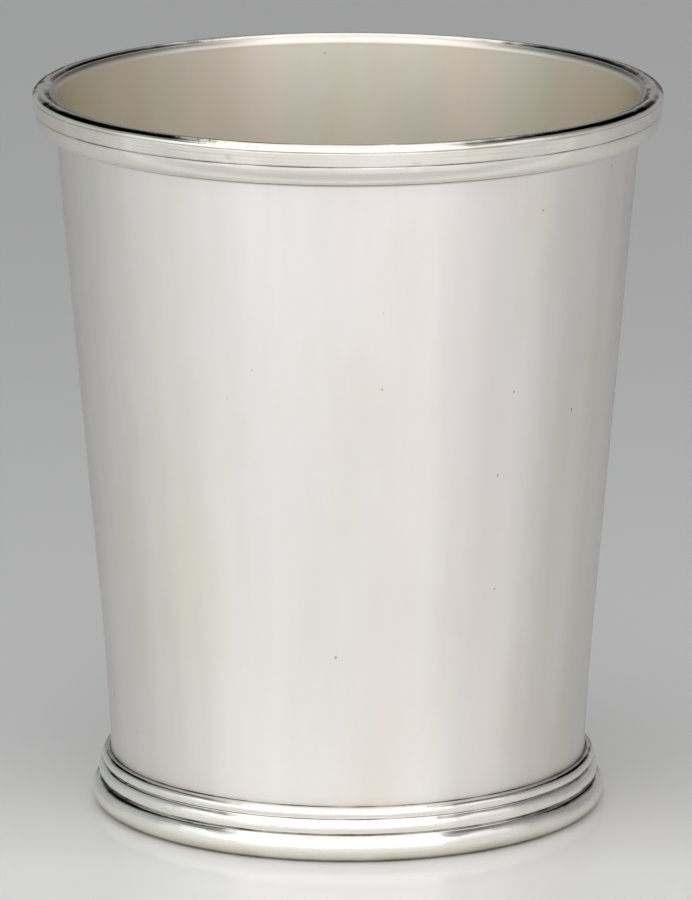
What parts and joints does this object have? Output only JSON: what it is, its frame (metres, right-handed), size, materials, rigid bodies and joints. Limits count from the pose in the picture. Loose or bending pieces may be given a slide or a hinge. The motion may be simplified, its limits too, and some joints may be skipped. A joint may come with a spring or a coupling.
{
  "type": "julep cup",
  "caption": "Tapered silver cup with a moulded rim and a reeded foot, open at the top, for drinks or flowers.",
  "frame": {"origin": "centre of the foot, on the plane that the cup stands on", "axes": "+Z along the cup's axis, from foot to rim; X and Y are free, as the cup is round"},
  "size_m": [0.082, 0.082, 0.0953],
  "materials": {
    "satin_silver": "sterling silver sheet, lathe-brushed to a soft satin",
    "polished_silver": "sterling silver wire, buffed to a mirror"
  },
  "bodies": {
    "root": {"cup_wall": "satin_silver", "floor_plate": "satin_silver", "foot_ring": "polished_silver", "foot_reeds": "polished_silver", "rim_reed": "polished_silver", "rim_bead": "polished_silver"}
  },
  "joints": []
}
